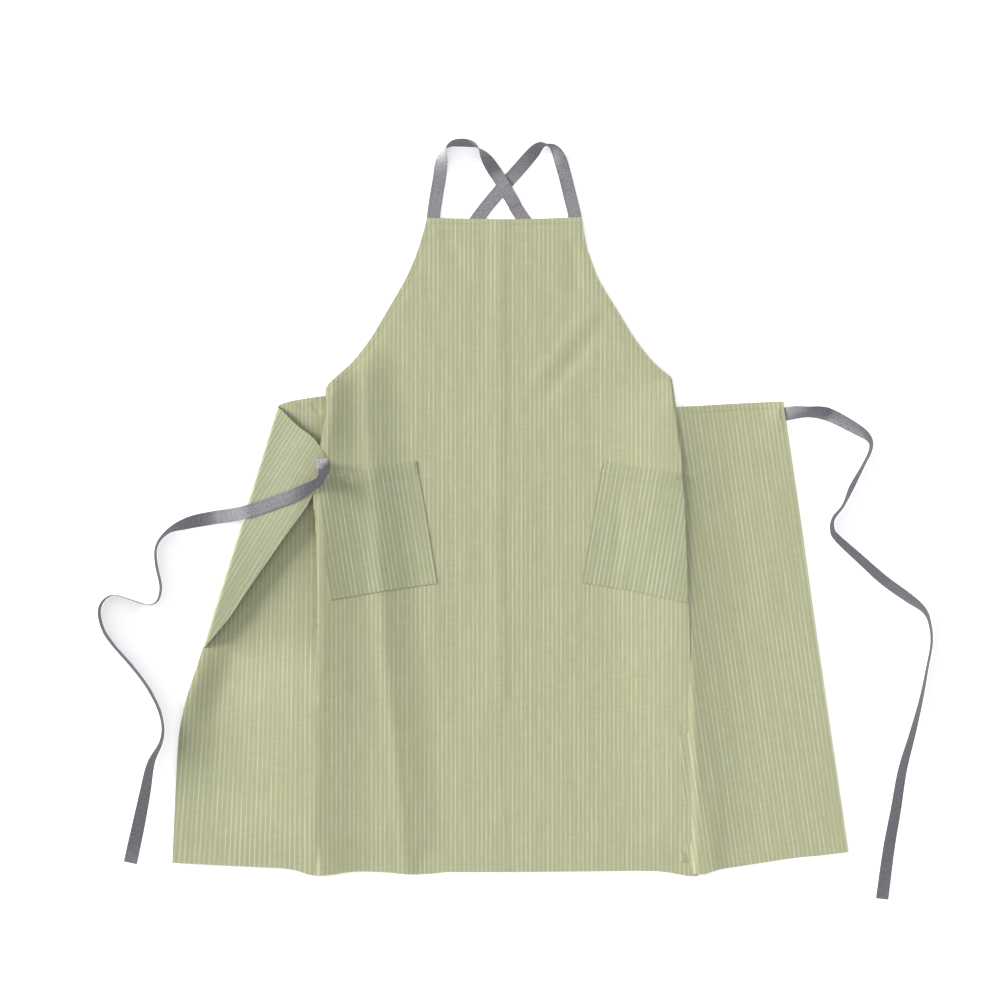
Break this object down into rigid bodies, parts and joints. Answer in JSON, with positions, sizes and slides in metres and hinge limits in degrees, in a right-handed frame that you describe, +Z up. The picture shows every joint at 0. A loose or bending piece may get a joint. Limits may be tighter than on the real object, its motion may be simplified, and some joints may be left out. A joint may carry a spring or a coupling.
{
  "type": "cross-back apron",
  "caption": "Cross-back work apron laid flat: striped cloth front with patch pockets, flared side panels, crossed shoulder straps and long waist ties.",
  "frame": {"origin": "centre of the underside of the apron as it lies, on the surface, with the waist ties left out", "axes": "+Y from the hem to the top of the bib, +X to the right of someone who looks down on the front, +Z up off the surface"},
  "size_m": [1.246, 1.1393, 0.02],
  "materials": {
    "striped_cloth": "plain-woven cotton with fine pale stripes, matt",
    "pocket_cloth": "plain-woven cotton with fine pale stripes, matt",
    "strap_cloth": "grey chambray tape, matt",
    "thread": "sewing thread, slight sheen"
  },
  "bodies": {
    "apron": {"front_panel_left": "striped_cloth", "front_panel_right": "striped_cloth", "bib_facing": "striped_cloth", "armhole_facing_left": "striped_cloth", "armhole_facing_right": "striped_cloth", "side_pleat_left": "striped_cloth", "side_pleat_right": "striped_cloth", "side_panel_left": "striped_cloth", "pocket_left": "pocket_cloth", "pocket_right": "pocket_cloth", "strap_behind_bib_left": "strap_cloth", "strap_behind_bib_right": "strap_cloth", "strap_root_left": "strap_cloth", "strap_root_right": "strap_cloth", "waist_tie_left": "strap_cloth", "slit_tack": "thread", "strap_root_left_tack": "thread", "strap_root_right_tack": "thread", "pocket_left_tack_outer": "thread", "pocket_left_tack_inner": "thread", "pocket_right_tack_outer": "thread", "pocket_right_tack_inner": "thread"},
    "shoulder_straps": {"shoulder_strap_left": "strap_cloth", "shoulder_strap_right": "strap_cloth"},
    "left_corner": {"side_corner_left": "striped_cloth", "waist_tie_left_root": "strap_cloth", "waist_tie_left_tack": "thread"},
    "right_side": {"side_panel_right": "striped_cloth", "waist_tie_right": "strap_cloth", "waist_tie_right_tack": "thread"}
  },
  "joints": [
    {"name": "straps_lift", "type": "hinge", "parent": "apron", "child": "shoulder_straps", "pos_m": [0, 0.4385, 0.0044], "axis": [1, 0, 0], "range_deg": [0, 160]},
    {"name": "left_corner_open", "type": "hinge", "parent": "apron", "child": "left_corner", "pos_m": [-0.349, 0.153, 0.00375], "axis": [-0.2948, -0.9555, 0], "range_deg": [0, 150]},
    {"name": "right_side_fold", "type": "hinge", "parent": "apron", "child": "right_side", "pos_m": [0.262, 0.153, 0.00375], "axis": [0.0326, -0.9995, 0], "range_deg": [0, 150]}
  ]
}
